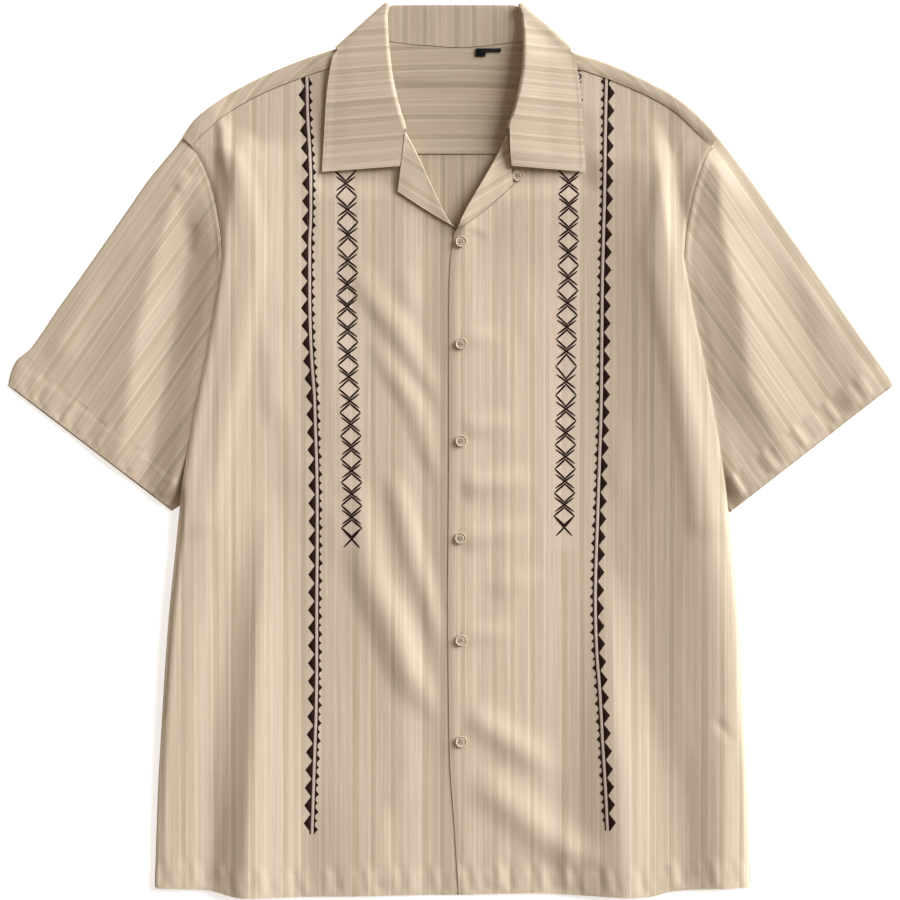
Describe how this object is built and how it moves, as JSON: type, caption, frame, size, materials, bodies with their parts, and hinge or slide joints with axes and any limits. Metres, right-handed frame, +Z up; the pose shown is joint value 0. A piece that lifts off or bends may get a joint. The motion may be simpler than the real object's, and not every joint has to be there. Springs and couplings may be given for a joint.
{
  "type": "cuban collar shirt",
  "caption": "Short-sleeved camp collar shirt laid flat, buttoned, with open lapels, embroidered bands on both fronts and boxy body.",
  "frame": {"origin": "under the middle of the shirt, on the flat surface it lies on", "axes": "+Z up from the surface through the front of the shirt, +Y from the hem to the collar, +X to the wearer's left"},
  "size_m": [0.7966, 0.8045, 0.0139],
  "materials": {
    "striped_cloth": "woven sand and cream stripes",
    "button_plastic": "satin",
    "dark_label": "woven",
    "dark_thread": "satin stitch",
    "pale_thread": "chain stitch",
    "sewing_thread": "lock stitch"
  },
  "bodies": {
    "root": {"back_panel": "striped_cloth", "yoke": "striped_cloth", "front_right": "striped_cloth", "front_left": "striped_cloth", "lapel_right": "striped_cloth", "lapel_left": "striped_cloth", "sleeve_right": "striped_cloth", "sleeve_left": "striped_cloth", "collar": "striped_cloth", "neck_label": "dark_label", "button_1": "button_plastic", "button_2": "button_plastic", "button_3": "button_plastic", "button_4": "button_plastic", "button_5": "button_plastic", "button_6": "button_plastic", "button_neck": "button_plastic"}
  },
  "joints": []
}
